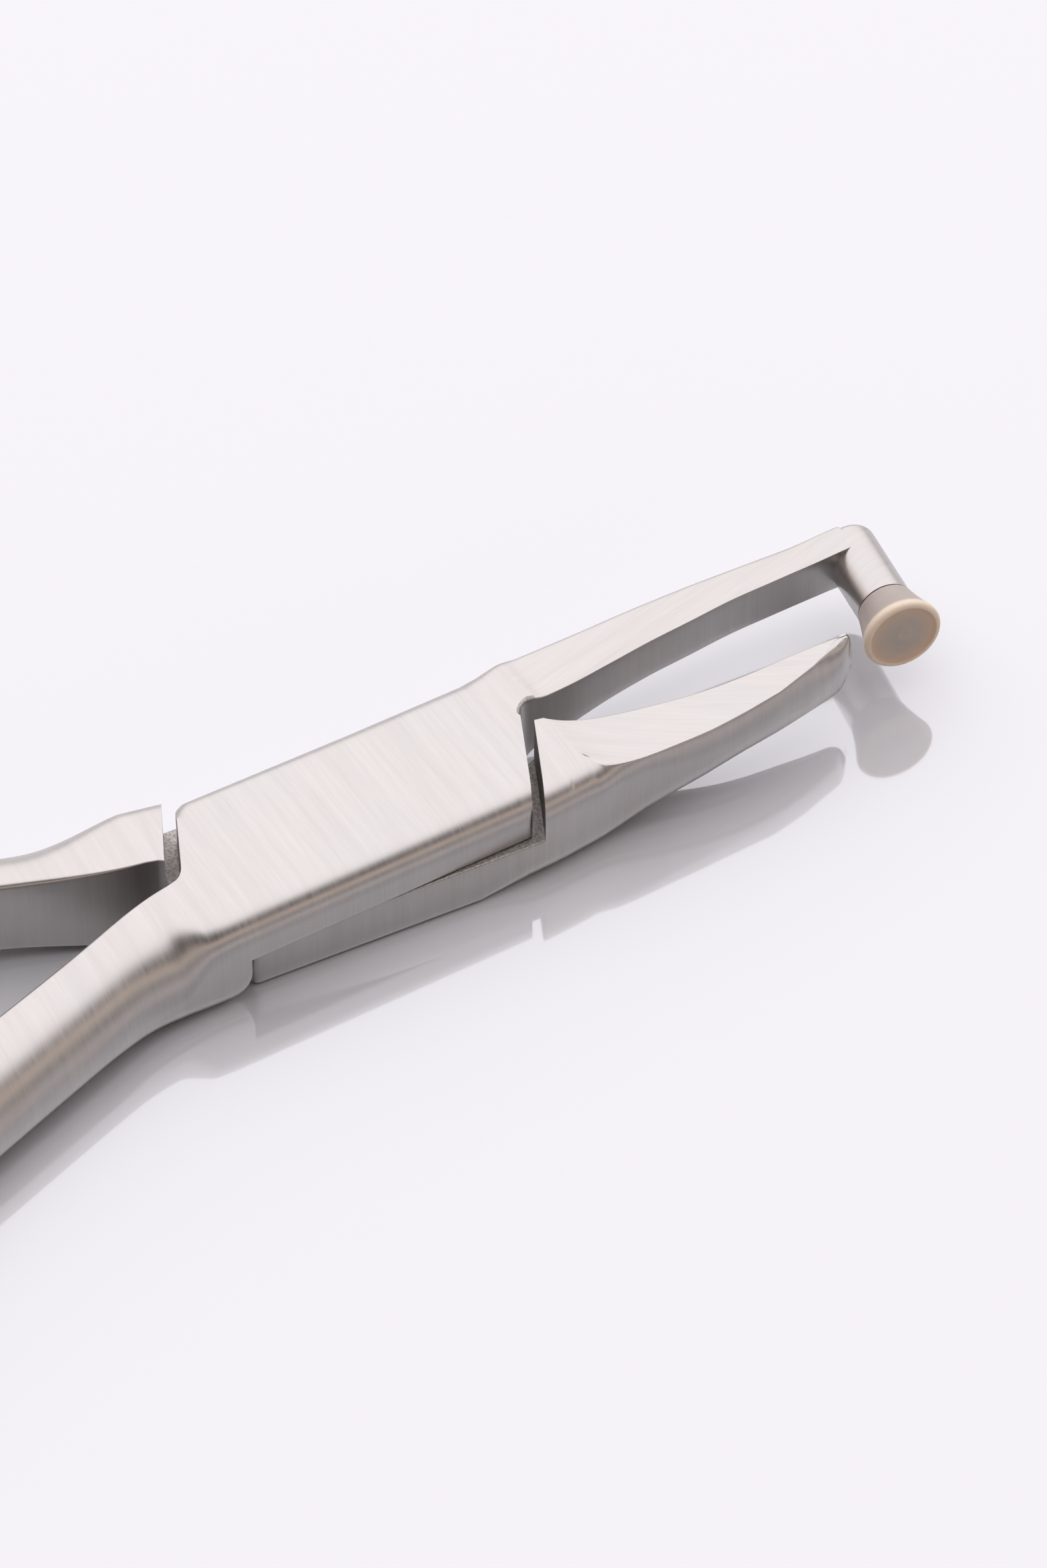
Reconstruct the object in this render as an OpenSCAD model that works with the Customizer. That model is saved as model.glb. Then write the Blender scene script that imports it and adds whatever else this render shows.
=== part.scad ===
// Posterior band removing plier: a lap jointed plier lying flat, in millimetres.
// +X points to the jaw tips, +Y to the padded arm's side, +Z up through the thickness.
// The origin lies on the underside of the joint, directly below the pivot axis.
// The two halves are drawn lined up and closed, then the arm half is turned to rest.

/* [Overall] */
// Angle of the arm half about the pivot as the plier lies, nearly closed
rest_angle = 4.2; // [0:0.1:12]
// Distance from the pivot axis to the axis of the pad's stud
arm_reach = 37.6; // [28:0.1:48]
// Length of the straight flared stretch of the handles
flare_len = 19; // [14:0.5:30]
// Length along the curve of the grips, which turn back inwards
grip_len = 66; // [50:1:90]

/* [Joint] */
// Thickness of both plates together
joint_t = 6.9; // [5.6:0.1:8.4]
// Distance from the pivot axis to the joint's wall on each half's handle side
wall_handle = 5.85; // [5:0.05:7.1]
// Distance from the pivot axis to the arm half's wall on its arm side
wall_arm = 5.4; // [4.8:0.05:6.5]
// Distance from the pivot axis to each plate's free edge at the jaw end
plate_front = 10.05; // [9:0.05:12.5]
// Distance from the pivot axis to each plate's free edge at the handle end
plate_rear = 11.6; // [10:0.05:14]
// Slant of the plates' free edges from square
edge_tilt = 25; // [15:0.5:30]
// Slant of the shoulders that face those edges
shoulder_tilt = 21; // [12:0.5:28]
// Gap between a free edge and the shoulder that faces it
end_gap = 0.78; // [0.5:0.01:1.2]
// Running clearance between the two lap faces
lap_clear = 0.04; // [0.02:0.01:0.08]

/* [Pivot rivet] */
// Diameter of the rivet's stem
stem_d = 4.5; // [3.5:0.1:6]
// Diameter of the rivet's flush head
head_d = 7.4; // [6.6:0.1:8.8]
// Height of the rivet's flush head
head_h = 1.2; // [0.8:0.1:1.6]
// Metal left above the blind end of the stem
blind_wall = 1.4; // [0.9:0.1:1.8]
// Radial running clearance of stem and head in the beak half
pivot_clear = 0.03; // [0.01:0.01:0.08]

/* [Arm] */
// Depth of the arm's top below the top of the joint
arm_drop = 0.33; // [0.1:0.01:0.6]
// Distance of the arm's inner wall from the joint's axis at its root
arm_in_root = 1.5; // [1.2:0.1:2]
// Distance of the arm's inner wall from the joint's axis near its tip
arm_in_tip = 2.65; // [2.3:0.05:3]
// Distance of the arm's outer wall from the joint's axis at its tip
arm_out_tip = 4.75; // [4.5:0.05:5.2]
// Radius of the arm's outer corner
arm_corner_r = 1.4; // [0.8:0.1:1.9]
// Radius of the cove under the arm's root
cove_r = 3.9; // [3:0.1:4.4]

/* [Stud and pad] */
// Diameter of the stud
stud_d = 3.5; // [3:0.1:4]
// Length of the stud from the arm's middle to the pad
stud_len = 5.15; // [4:0.05:7]
// Lean of the stud back towards the pivot
stud_lean = 7.6; // [0:0.2:10]
// Diameter of the spigot inside the pad
spigot_d = 2.1; // [1.6:0.1:2.4]
// Length of the spigot inside the pad
spigot_len = 2.2; // [1.8:0.1:2.5]
// Height of the retaining bead above the spigot
bead_h = 0.15; // [0.05:0.05:0.2]
// Diameter of the pad's rim
pad_d = 5.2; // [4.6:0.1:6.4]
// Diameter of the pad where it meets the stud
pad_neck_d = 3.6; // [3.5:0.1:4.2]
// Length of the pad
pad_len = 3.2; // [2.9:0.1:4.2]
// Height of the pad's straight rim band
rim_band = 0.55; // [0.3:0.05:0.8]
// Depth of the dished working face
face_dish = 0.1; // [0.05:0.01:0.2]

/* [Beak] */
// Gap between the beak's tip and the pad's rim at rest
tip_gap = 0.75; // [0.5:0.05:3]
// Height of the beak at its tip
beak_tip_h = 3.1; // [2.2:0.1:4]
// Distance of the beak's outer wall from the joint's axis behind its curve
beak_w = 4.65; // [4:0.05:5.4]
// Distance of the beak's inner wall from the joint's axis at its tip
beak_in_tip = 1.35; // [1.2:0.05:1.7]
// Depth of the scoop in the beak's top
scoop_depth = 0.48; // [0.2:0.02:0.8]

/* [Handles] */
// Width of the handles in the flared stretch
handle_w = 4.7; // [4:0.1:5.6]
// Width of the handles at the grips
grip_w = 6; // [5:0.1:7.2]
// Thickness of the handles
handle_t = 5.8; // [4.6:0.1:6.6]
// Depth of the handles' top below the top of the joint
handle_sink = 0.15; // [0:0.05:0.3]
// Heading of the handle where it leaves the joint
root_heading = 5; // [0:1:10]
// Heading of the flared stretch
flare_heading = 18; // [12:1:24]
// Heading at the end of the grip
end_heading = -5; // [-12:1:4]

/* [Hidden] */
$fn = 48;

steel = [0.79, 0.78, 0.77];
rivet_steel = [0.72, 0.72, 0.73];
pad_cream = [0.80, 0.74, 0.64];

over = 1;                                  // how far a cutter runs past what it cuts
far = 3 * wall_handle;                     // clear of the joint on either side
lap_z = joint_t / 2;
arm_z = lap_z + lap_clear / 2;             // underside of the arm half's plate
beak_z = lap_z - lap_clear / 2;            // top of the beak half's plate
arm_top = joint_t - arm_drop;
arm_mid_y = (arm_in_tip + arm_out_tip) / 2;
stud_z = (arm_z + arm_top) / 2;
stem_top = joint_t - blind_wall;
shoulder_front = plate_front + end_gap;
shoulder_rear = plate_rear + end_gap;
jaw_x = plate_front + 2.5;                 // where both jaws leave the joint
bead_at = 0.6 * spigot_len;
bead_half = 0.3;                           // half the bead's height along the spigot

// Joint ends: a line at a distance d from the pivot, tilted from square
function front_x(d, tilt, y) = (d + y * sin(tilt)) / cos(tilt);
function rear_x(d, tilt, y) = -(d - y * sin(tilt)) / cos(tilt);

// A value that eases from a to b as x goes from x0 to x1
function ease(x, x0, x1, a, b) =
    let (u = max(0, min(1, (x - x0) / (x1 - x0)))) a + (b - a) * u * u * (3 - 2 * u);
function direction(angle) = [cos(angle), sin(angle)];

// Handle, on the -Y side: an arc outwards, a straight flare and a long arc back
fork_in = 0.05;                            // how far its inner wall passes the joint's axis
root_x = -(plate_rear + 0.9);
root_y = -(wall_handle - fork_in) / 2;
root_half_w = (wall_handle + fork_in) / 2;
bend_len = 7.6;
handle_len = bend_len + flare_len + grip_len;
handle_steps = 30;

function heading(s) =
    s < bend_len ? root_heading + (flare_heading - root_heading) * s / bend_len
    : s < bend_len + flare_len ? flare_heading
    : flare_heading + (end_heading - flare_heading) * (s - bend_len - flare_len) / grip_len;

// Step along an arc of length len whose heading turns from h0 to h1
function arc_step(len, h0, h1) =
    let (half = (h1 - h0) / 2)
    let (chord = half == 0 ? len : len * sin(half) / (half * PI / 180))
    -chord * direction((h0 + h1) / 2);
function spine(s) =
    s <= bend_len ? [root_x, root_y] + arc_step(s, root_heading, heading(s))
    : s <= bend_len + flare_len ? spine(bend_len) + arc_step(s - bend_len, heading(s), heading(s))
    : spine(bend_len + flare_len) + arc_step(s - bend_len - flare_len, flare_heading, heading(s));
function half_w(s) =
    s < bend_len ? ease(s, 0, bend_len, root_half_w, handle_w / 2)
    : ease(s, bend_len, handle_len - grip_len * 2 / 3, handle_w, grip_w) / 2;
function side_point(s, side) = spine(s) + side * half_w(s) * [sin(heading(s)), -cos(heading(s))];
end_r = half_w(handle_len);
handle_end_x = spine(handle_len)[0] - end_r;

module handle_outline() {
    ds = handle_len / handle_steps;
    inner = [for (i = [0 : handle_steps]) side_point(i * ds, -1)];
    outer = [for (i = [handle_steps : -1 : 0]) side_point(i * ds, 1)];
    inside_x = -plate_rear + 2;            // well inside the joint block
    polygon(concat([[inside_x, -1.2]], inner, outer, [[inside_x, -wall_handle]]));
    translate(spine(handle_len)) circle(end_r);
}

// Side view of a handle: the joint's full height at its root, thinner behind it
module handle_side() {
    thin_x = root_x - bend_len - 3;
    end_x = handle_end_x - over;
    handle_top = joint_t - handle_sink;
    steps = 6;
    xs = [for (i = [0 : steps]) root_x + (thin_x - root_x) * i / steps];
    polygon(concat([[0, 0]],
        [for (x = xs) [x, ease(x, root_x, thin_x, 0, handle_top - handle_t)]],
        [[end_x, handle_top - handle_t], [end_x, handle_top]],
        [[thin_x, handle_top], [root_x, joint_t], [0, joint_t]]));
}

module side_cut(wide) {
    rotate([90, 0, 0]) linear_extrude(wide, center = true) children();
}

module handle() {
    intersection() {
        linear_extrude(joint_t) handle_outline();
        side_cut(2 * handle_len) handle_side();
    }
}

// The strip between the two shoulders, where half the thickness is milled away
module lap_recess(z0, z1) {
    translate([0, 0, z0]) linear_extrude(z1 - z0) polygon([
        [front_x(shoulder_front, -shoulder_tilt, -far), -far],
        [front_x(shoulder_front, -shoulder_tilt, far), far],
        [rear_x(shoulder_rear, -shoulder_tilt, far), far],
        [rear_x(shoulder_rear, -shoulder_tilt, -far), -far]]);
}

// Joint block from free edge to free edge, with its jaw on +Y and its handle on -Y
module joint_block(jaw_wall, handle_wall, jaw_in) {
    corner_x = front_x(plate_front, edge_tilt, jaw_in);
    heel_x = root_x - 1.5;
    fork_y = -0.5;
    linear_extrude(joint_t) polygon([
        [front_x(plate_front, edge_tilt, -handle_wall), -handle_wall],
        [corner_x, jaw_in], [corner_x + 1.2, jaw_in], [corner_x + 1.2, jaw_wall],
        [rear_x(plate_rear, edge_tilt, jaw_wall), jaw_wall],
        [rear_x(plate_rear, edge_tilt, fork_y), fork_y],
        [heel_x, fork_y - 0.6], [heel_x, -handle_wall]]);
}

// Arm, on the +Y side: nearly straight inside, tapering outside, with a round corner
arm_end = arm_reach + stud_d / 2;
function arm_inner(x) = ease(x, jaw_x + 0.5, jaw_x + 17.5, arm_in_root, arm_in_tip);
function arm_outer(x) = ease(x, jaw_x + 8, arm_end, wall_arm, arm_out_tip);

module arm_outline() {
    root = plate_front + 0.5;
    steps = 10;
    xs = [for (i = [0 : steps]) root + (arm_end - root) * i / steps];
    corner = [arm_end - arm_corner_r, arm_out_tip - arm_corner_r];
    difference() {
        polygon(concat([for (x = xs) [x, arm_inner(x)]],
            [for (i = [steps : -1 : 0]) [xs[i], arm_outer(xs[i])]]));
        difference() {
            translate(corner) square(2 * arm_corner_r);
            translate(corner) circle(arm_corner_r);
        }
    }
}

// Side view of the arm: a deep root, coved underneath, and a small step in the top
module arm_side() {
    cove_x = plate_front + 1.45 + cove_r;
    step_x = jaw_x + 0.65;
    difference() {
        translate([plate_front, 0]) square([arm_end, joint_t]);
        translate([step_x, arm_top]) square(arm_end);
        translate([cove_x, arm_z - cove_r]) circle(cove_r);
        translate([cove_x, arm_z - joint_t]) square([arm_end, joint_t]);
    }
}

module arm() {
    intersection() {
        linear_extrude(joint_t) arm_outline();
        side_cut(far) arm_side();
    }
}

// Frame of the stud: origin where its axis crosses the arm's middle, +Z along the axis
module on_stud() {
    translate([arm_reach, arm_mid_y, stud_z])
        rotate([0, 0, -stud_lean]) rotate([90, 0, 0]) children();
}

module stud() {
    buried = 0.4;                          // the stud starts this far from the arm's middle
    bead = [[0, -bead_half], [spigot_d / 2, -bead_half], [spigot_d / 2 + bead_h, 0],
        [spigot_d / 2, bead_half], [0, bead_half]];
    on_stud() {
        translate([0, 0, buried]) cylinder(h = stud_len - buried, d = stud_d);
        translate([0, 0, stud_len]) cylinder(h = spigot_len, d = spigot_d);
        translate([0, 0, stud_len + bead_at]) rotate_extrude() polygon(bead);
    }
}

module arm_half() {
    color(steel) rotate([0, 0, rest_angle]) {
        difference() {
            union() {
                joint_block(wall_arm, wall_handle, arm_in_root);
                handle();
                arm();
            }
            lap_recess(-over, arm_z);
            translate([0, 0, -over]) cylinder(h = stem_top + over, d = stem_d);
        }
        stud();
    }
}

// Beak, drawn on the +Y side before the half is mirrored: it stops just short of the pad
pad_face = direction(rest_angle) * arm_reach + direction(rest_angle + 90) * arm_mid_y
    + (stud_len + pad_len) * direction(rest_angle - stud_lean - 90);
beak_reach = pad_face[0] - pad_d / 2 - tip_gap;
beak_root_in = -0.9;                       // its inner wall starts beyond the joint's axis
function beak_inner(x) = ease(x, plate_front, jaw_x + 9.5, beak_root_in, beak_in_tip);
function beak_outer(x) =
    let (curve_x = jaw_x + 4.5, u = max(0, x - curve_x) / (beak_reach - curve_x))
    x < curve_x ? ease(x, jaw_x - 3.5, curve_x - 1, wall_handle, beak_w)
    : beak_in_tip + (beak_w - beak_in_tip) * pow(max(0, 1 - u * u), 0.6);

module beak_outline() {
    root = front_x(shoulder_front, -shoulder_tilt, beak_root_in);
    steps = 12;
    xs = [for (i = [0 : steps]) root + (beak_reach - root) * sin(90 * i / steps)];
    polygon(concat([for (x = xs) [x, beak_inner(x)]],
        [for (i = [steps - 1 : -1 : 0]) [xs[i], beak_outer(xs[i])]],
        [[plate_front - 1, wall_handle]]));
}

// Side view of the beak: scooped top, underside rising to the tip, rounded nose
module beak_side() {
    root = plate_front - 3;
    scooped = joint_t - scoop_depth;
    tip_top = joint_t - 0.05;
    nose = 0.8;
    function top(x) = x < jaw_x + 4.5 ? ease(x, jaw_x, jaw_x + 4.5, joint_t, scooped)
        : ease(x, jaw_x + 7.5, beak_reach, scooped, tip_top);
    function low(x) = ease(x, jaw_x - 3.5, jaw_x + 5.5, 0, tip_top - beak_tip_h)
        * pow(max(0, x - jaw_x) / (beak_reach - jaw_x), 0.65);
    steps = 8;
    xs = [for (i = [0 : steps]) jaw_x + (beak_reach - nose - jaw_x) * i / steps];
    polygon(concat([[root, 0]], [for (x = xs) [x, low(x)]],
        [[beak_reach - nose / 4, low(beak_reach)], [beak_reach, tip_top - 0.6 * beak_tip_h],
         [beak_reach - nose / 4, tip_top - 0.2 * beak_tip_h]],
        [for (i = [steps : -1 : 0]) [xs[i], top(xs[i])]], [[root, joint_t]]));
}

module beak() {
    intersection() {
        linear_extrude(joint_t) beak_outline();
        side_cut(far) beak_side();
    }
}

module beak_half() {
    plate_in = -0.3;                       // keeps the plate's corner off the arm's root
    color(steel) mirror([0, 1, 0]) difference() {
        union() {
            joint_block(wall_handle, wall_arm, plate_in);
            handle();
            beak();
        }
        lap_recess(beak_z, joint_t + over);
        translate([0, 0, -over]) cylinder(h = joint_t, d = stem_d + 2 * pivot_clear);
        translate([0, 0, -over]) cylinder(h = head_h + over, d = head_d + 2 * pivot_clear);
    }
}

// Pressed into the arm half's blind bore, with its head flush under the beak half
module pivot_rivet() {
    color(rivet_steel) rotate_extrude() polygon([
        [0, 0], [head_d / 2, 0], [head_d / 2, head_h], [stem_d / 2, head_h],
        [stem_d / 2, stem_top], [0, stem_top]]);
}

// Cap pressed on the spigot: cone, rim band, dished face and a bore grooved for the bead
module pad() {
    bore_r = spigot_d / 2;
    rim_r = pad_d / 2;
    round = 0.15;
    color(pad_cream) rotate([0, 0, rest_angle]) on_stud() translate([0, 0, stud_len])
        rotate_extrude() polygon([
            [bore_r, 0], [pad_neck_d / 2, 0], [rim_r - round, pad_len - rim_band - round],
            [rim_r, pad_len - rim_band], [rim_r, pad_len - round], [rim_r - round, pad_len],
            [rim_r - 2 * round, pad_len], [rim_r - 3 * round, pad_len - face_dish],
            [0, pad_len - face_dish], [0, spigot_len],
            [bore_r, spigot_len], [bore_r, bead_at + bead_half], [bore_r + bead_h, bead_at],
            [bore_r, bead_at - bead_half]]);
}

arm_half();
beak_half();
pivot_rivet();
pad();
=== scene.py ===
"""Looks of a posterior band removing plier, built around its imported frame."""
from math import cos, pi, radians, sin
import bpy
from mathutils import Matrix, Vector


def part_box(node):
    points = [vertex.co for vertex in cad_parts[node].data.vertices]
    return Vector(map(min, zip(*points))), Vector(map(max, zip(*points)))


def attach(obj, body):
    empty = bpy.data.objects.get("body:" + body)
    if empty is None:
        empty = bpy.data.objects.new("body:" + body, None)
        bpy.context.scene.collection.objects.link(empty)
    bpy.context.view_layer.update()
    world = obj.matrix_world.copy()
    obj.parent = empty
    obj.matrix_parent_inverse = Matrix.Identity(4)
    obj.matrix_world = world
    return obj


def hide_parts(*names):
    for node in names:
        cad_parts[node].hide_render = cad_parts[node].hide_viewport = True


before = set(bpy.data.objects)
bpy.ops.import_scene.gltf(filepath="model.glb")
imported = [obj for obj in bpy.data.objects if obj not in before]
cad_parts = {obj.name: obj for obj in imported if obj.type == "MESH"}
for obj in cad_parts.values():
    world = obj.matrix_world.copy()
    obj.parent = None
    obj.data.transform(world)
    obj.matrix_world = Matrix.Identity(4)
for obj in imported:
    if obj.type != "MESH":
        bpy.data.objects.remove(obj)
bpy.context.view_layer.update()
from types import SimpleNamespace

import bmesh
import bpy
import numpy as np
from bpy.props import FloatProperty, FloatVectorProperty, PointerProperty
from mathutils import Matrix

bl_info = {
    "name": "Band removing plier",
    "version": (1, 0, 0),
    "blender": (4, 5, 0),
    "location": "View3D > Sidebar > Plier",
    "description": "Builds the two halves, the pad and the stage of a band removing plier",
    "category": "Object",
}

MM = 0.001
JOINT_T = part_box("beak_half")[1].z / MM  # thickness of both plates together
RIVET_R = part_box("pivot_rivet")[1].x / MM
RIVET_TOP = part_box("pivot_rivet")[1].z / MM
STEM_R = 2.25  # radius of the rivet's stem, in mm
HEAD_T = 1.2  # depth of the counterbore for the rivet's head
RUNNING = 0.03  # clearance of the rivet in the beak half
STUD_Z = 4.85  # height of the stud's axis in the arm, in mm
FILLET = 0.16  # rounding of the scoop's crease, in mm
SHARP = 0.1  # radius of an edge that is only broken, in mm
ARC = 9  # points on each rounded edge
WALL = 4  # points inside each wall
SCOOP = 14  # points across the top's first strip
FLAT = 16  # points across the strip past the crease
BOTTOM = 10  # points across the underside
ACROSS, ALONG, MILLED = range(3)  # material slots of a half
PANEL = (0.218, 0.45, 0.866)  # direction of the studio's soft panel
PANEL_LIGHT = (1.82, 1.76, 1.79)


def length(name, mm, text):
    """A length property whose default is given in millimetres."""
    return FloatProperty(name=name, description=text, default=mm * MM, unit="LENGTH", precision=5)


def angle(name, degrees, text):
    """An angle property whose default is given in degrees."""
    return FloatProperty(name=name, description=text, default=radians(degrees), unit="ROTATION")


def colour(name, rgb, text):
    """A colour property."""
    return FloatVectorProperty(name=name, description=text, default=rgb, subtype="COLOR",
                               min=0, max=1)


def factor(name, value, text):
    """A plain number between nothing and a few."""
    return FloatProperty(name=name, description=text, default=value, subtype="FACTOR",
                         min=0, soft_max=2)


class JointSizes(bpy.types.PropertyGroup):
    """Sizes of the lap joint that both halves share."""
    rest_angle: angle("Rest angle", 4.2, "The arm half's turn about the pivot at rest")
    lap_gap: length("Lap gap", 0.04, "Gap between the two lap faces")
    wall_handle: length("Handle-side wall", 5.85, "Pivot axis to the wall above a handle")
    wall_arm: length("Arm-side wall", 5.4, "Pivot axis to the arm half's other wall")
    plate_front: length("Plate front", 10.05, "Pivot axis to a plate's edge at the jaws")
    plate_rear: length("Plate rear", 11.6, "Pivot axis to a plate's edge at the handles")
    end_gap: length("End gap", 0.78, "Between a plate's edge and the shoulder that faces it")
    edge_tilt: angle("Edge tilt", 25, "Slant of the plates' free edges from square")
    shoulder_tilt: angle("Shoulder tilt", 21, "Slant of the shoulders from square")
    arm_edge: length("Arm half edge", 1.9, "Radius of its top edge on the handle's side")
    beak_edge: length("Beak half edge", 1.5, "Radius of its top edge on the handle's side")
    jaw_edge: length("Jaw-side edge", 1.5, "Radius of the top edge on the jaw's side")
    heel_round: length("Heel rounding", 1.5, "Radius of the lower edge of the heel")
    heel_end: length("Heel end rounding", 1.1, "Radius of the heel's lower end edge")
    heel_back: length("Heel set-back", 0.3, "How far the heel is relieved")
    plate_under: length("Plate underside", 0.5, "Radius of the lower plate's lower edge")


class HandleSizes(bpy.types.PropertyGroup):
    """Sizes of the two handles, which are mirror copies."""
    fork_out: length("Fork offset", 0.55, "Joint's axis to the inner wall's root")
    bend: length("Bend", 7.6, "Length of the bend behind the joint")
    flare: length("Flare", 19, "Length of the straight flared stretch")
    grip: length("Grip", 66, "Length of the long curve of the grip")
    width: length("Flare width", 4.45, "Width in the flared stretch")
    grip_width: length("Grip width", 6, "Width at the grip")
    thickness: length("Thickness", 5.8, "Thickness behind the joint")
    sink: length("Sink", 0.15, "Depth of the top below the joint's top")
    outer_round: length("Outer rounding", 4.2, "Depth of the rounding of the outer edges")
    outer_spread: factor("Outer spread", 0.92, "Width of the rounding over its depth")
    under_round: length("Lower rounding", 1.45, "Radius of the outer wall's lower edge")
    inner_round: length("Inner rounding", 0.4, "Radius of the inner edges")
    flare_heading: angle("Flare heading", 18, "Heading of the flared stretch")
    end_heading: angle("End heading", -5, "Heading at the end of the grip")


class ArmSizes(bpy.types.PropertyGroup):
    """Sizes of the long arm and its stud."""
    reach: length("Reach", 37.85, "Pivot axis to the stud's axis")
    drop: length("Top drop", 0.33, "Depth of the arm's top below the joint's top")
    corner: length("Stud's back edge", 0.6, "Radius of the stud's hind edge")
    stud_rise: angle("Stud rise", 2, "How far the stud points up")
    in_root: length("Inner wall at root", 1.5, "Joint's axis to the inner wall's root")
    in_tip: length("Inner wall at tip", 2.65, "Joint's axis to the inner wall's tip")
    out_tip: length("Outer wall at tip", 4.75, "Joint's axis to the outer wall's tip")
    stud: length("Stud", 3.7, "Diameter of the stud")
    stud_length: length("Stud length", 5.45, "From the arm's middle to the pad")
    stud_lean: angle("Stud lean", 10, "Lean of the stud back towards the pivot")
    spigot: length("Spigot", 2.1, "Diameter of the spigot in the pad")
    spigot_length: length("Spigot length", 2.2, "Length of the spigot in the pad")


class BeakSizes(bpy.types.PropertyGroup):
    """Sizes of the scooped beak."""
    reach: length("Reach", 33.1, "Pivot axis to the nose")
    rear_more: length("Rear more", 0.25, "How much further back its plate reaches")
    inner: length("Inner wall", 1.28, "Joint's axis to the straight inner wall")
    scoop: length("Scoop", 0.75, "Depth of the scoop in its top")
    scoop_run: length("Scoop run", 2.4, "How far the scoop takes to level out")
    nose_height: length("Nose height", 5.3, "Height of the nose's foremost point")
    block_round: length("Block rounding", 1.9, "Radius of the block's top edge beside the beak")
    cheek: length("Cheek", 4.0, "Radius of the outer wall above its widest line")
    belly: length("Belly", 2.0, "Radius of the outer wall below its widest line")


class PadSizes(bpy.types.PropertyGroup):
    """Sizes of the flared pad."""
    rim: length("Rim", 5.2, "Diameter of the rim")
    neck: length("Neck", 3.8, "Diameter where it meets the stud")
    height: length("Height", 2.85, "Height along the stud's axis")
    band: length("Band", 0.56, "Height of the rounded rim band")
    face: length("Face", 4.5, "Diameter of the recessed face")
    dish: length("Dish", 0.1, "Depth of the recessed face")


class Finish(bpy.types.PropertyGroup):
    """Colours and finishes."""
    steel: colour("Steel", (0.47, 0.459, 0.456), "Brushed stainless steel")
    steel_warm: colour("Steel, warm", (0.49, 0.465, 0.447), "Tint of the warmer streaks")
    steel_rough: factor("Steel roughness", 0.33, "Of the brushed faces")
    milled_rough: factor("Milled roughness", 0.5, "Of the milled lap faces")
    milled_dark: colour("Milled, dark", (0.13, 0.12, 0.115), "Dark grains of the lap faces")
    milled_light: colour("Milled, light", (0.52, 0.49, 0.465), "Bright grains of the same")
    rings: colour("Turned rings", (0.44, 0.42, 0.41), "Darker rings on the rivet's head")
    # cone and rim: one cream plastic in a shaded and a lit copy; the rim's lighter, warmer colour
    # over the cone's darker one is painted light and shade
    cone: colour("Pad cone", (0.33, 0.285, 0.26), "Cream plastic of the pad's cone")
    rim: colour("Pad rim", (0.62, 0.525, 0.43), "Warmer plastic of the pad's rim")
    ring: colour("Pad ring", (0.52, 0.385, 0.275), "Outermost ring of the pad's face")
    face: colour("Pad face", (0.40, 0.345, 0.30), "Grey-brown middle of the pad's face")


class StageSizes(bpy.types.PropertyGroup):
    """Camera, light and floor."""
    camera_azimuth: angle("Azimuth", 27, "Turn of the view from the far side")
    camera_elevation: angle("Elevation", 46.3, "Height of the view above the floor")
    camera_distance: length("Distance", 372, "From the camera to that point")
    look_x: length("Look at X", 11.8, "Point that the camera looks at")
    look_y: length("Look at Y", 2.0, "Point that the camera looks at")
    floor: colour("Floor", (0.573, 0.577, 0.606), "Glossy pale floor")
    floor_metal: factor("Floor metal", 0.3, "Share of the light that it mirrors")
    floor_rough: factor("Floor roughness", 0.06, "Blur of its reflections")


def in_mm(group):
    """A property group's values, with its lengths in millimetres."""
    values = {}
    for key in group.__annotations__:
        value = getattr(group, key)
        is_length = group.bl_rna.properties[key].unit == "LENGTH"
        values[key] = value / MM if is_length else value
    return SimpleNamespace(**values)


def ease(x, x0, x1, a, b):
    """From a to b by the smooth step 3t^2 - 2t^3, with t running from 0 at x0 to 1 at x1."""
    t = np.clip((x - x0) / (x1 - x0), 0, 1)
    return a + (b - a) * t * t * (3 - 2 * t)


def through(x, xs, ys):
    """Cubic curve through points: between two of them it is the Hermite cubic whose slopes there
    are those of the neighbouring chords, averaged by length."""
    xs, ys = np.asarray(xs, float), np.asarray(ys, float)
    slope = np.gradient(ys, xs)
    i = np.clip(np.searchsorted(xs, x) - 1, 0, len(xs) - 2)
    run = xs[i + 1] - xs[i]
    t = np.clip((x - xs[i]) / run, 0, 1)
    keep, turn = (1 + 2 * t) * (1 - t) ** 2, t * (1 - t) ** 2
    return (keep * ys[i] + turn * run * slope[i]
            + (1 - keep) * ys[i + 1] + t * t * (t - 1) * run * slope[i + 1])


def soften(path, corner, reach):
    """Rounds a plan path at a corner: within reach of it the path is the parabola that leaves and
    meets the two straight sides tangentially, with the corner as its middle control point."""
    step = np.linalg.norm(np.diff(path, axis=0), axis=1)
    run = np.concatenate([[0], np.cumsum(step)])
    at = run[np.argmin(np.linalg.norm(path - corner, axis=1))]
    w = ((run - at + reach) / (2 * reach))[:, None]
    ends = [np.array([np.interp(s, run, path[:, k]) for k in (0, 1)])
            for s in (at - reach, at + reach)]
    curve = (1 - w) ** 2 * ends[0] + 2 * w * (1 - w) * np.array(corner) + w * w * ends[1]
    inside = ((w > 0) & (w < 1))[:, 0]
    path[inside] = curve[inside]
    return path


def soften_all(rows, column, *corners):
    """Rounds the plan path in two columns of the rows at each corner and reach given."""
    for corner, reach in corners:
        rows[:, column:column + 2] = soften(rows[:, column:column + 2].copy(), corner, reach)


def skew(path, across):
    """How much longer an inset is when measured along the cross lines than square to the wall."""
    ahead = np.roll(path, -1, 0) - np.roll(path, 1, 0)
    ahead[0], ahead[-1] = path[1] - path[0], path[-1] - path[-2]
    ahead /= np.maximum(np.linalg.norm(ahead, axis=1), 1e-9)[:, None]
    square = np.abs(ahead[:, 0] * across[:, 1] - ahead[:, 1] * across[:, 0])
    return 1 / np.clip(square, 0.45, 1)


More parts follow.
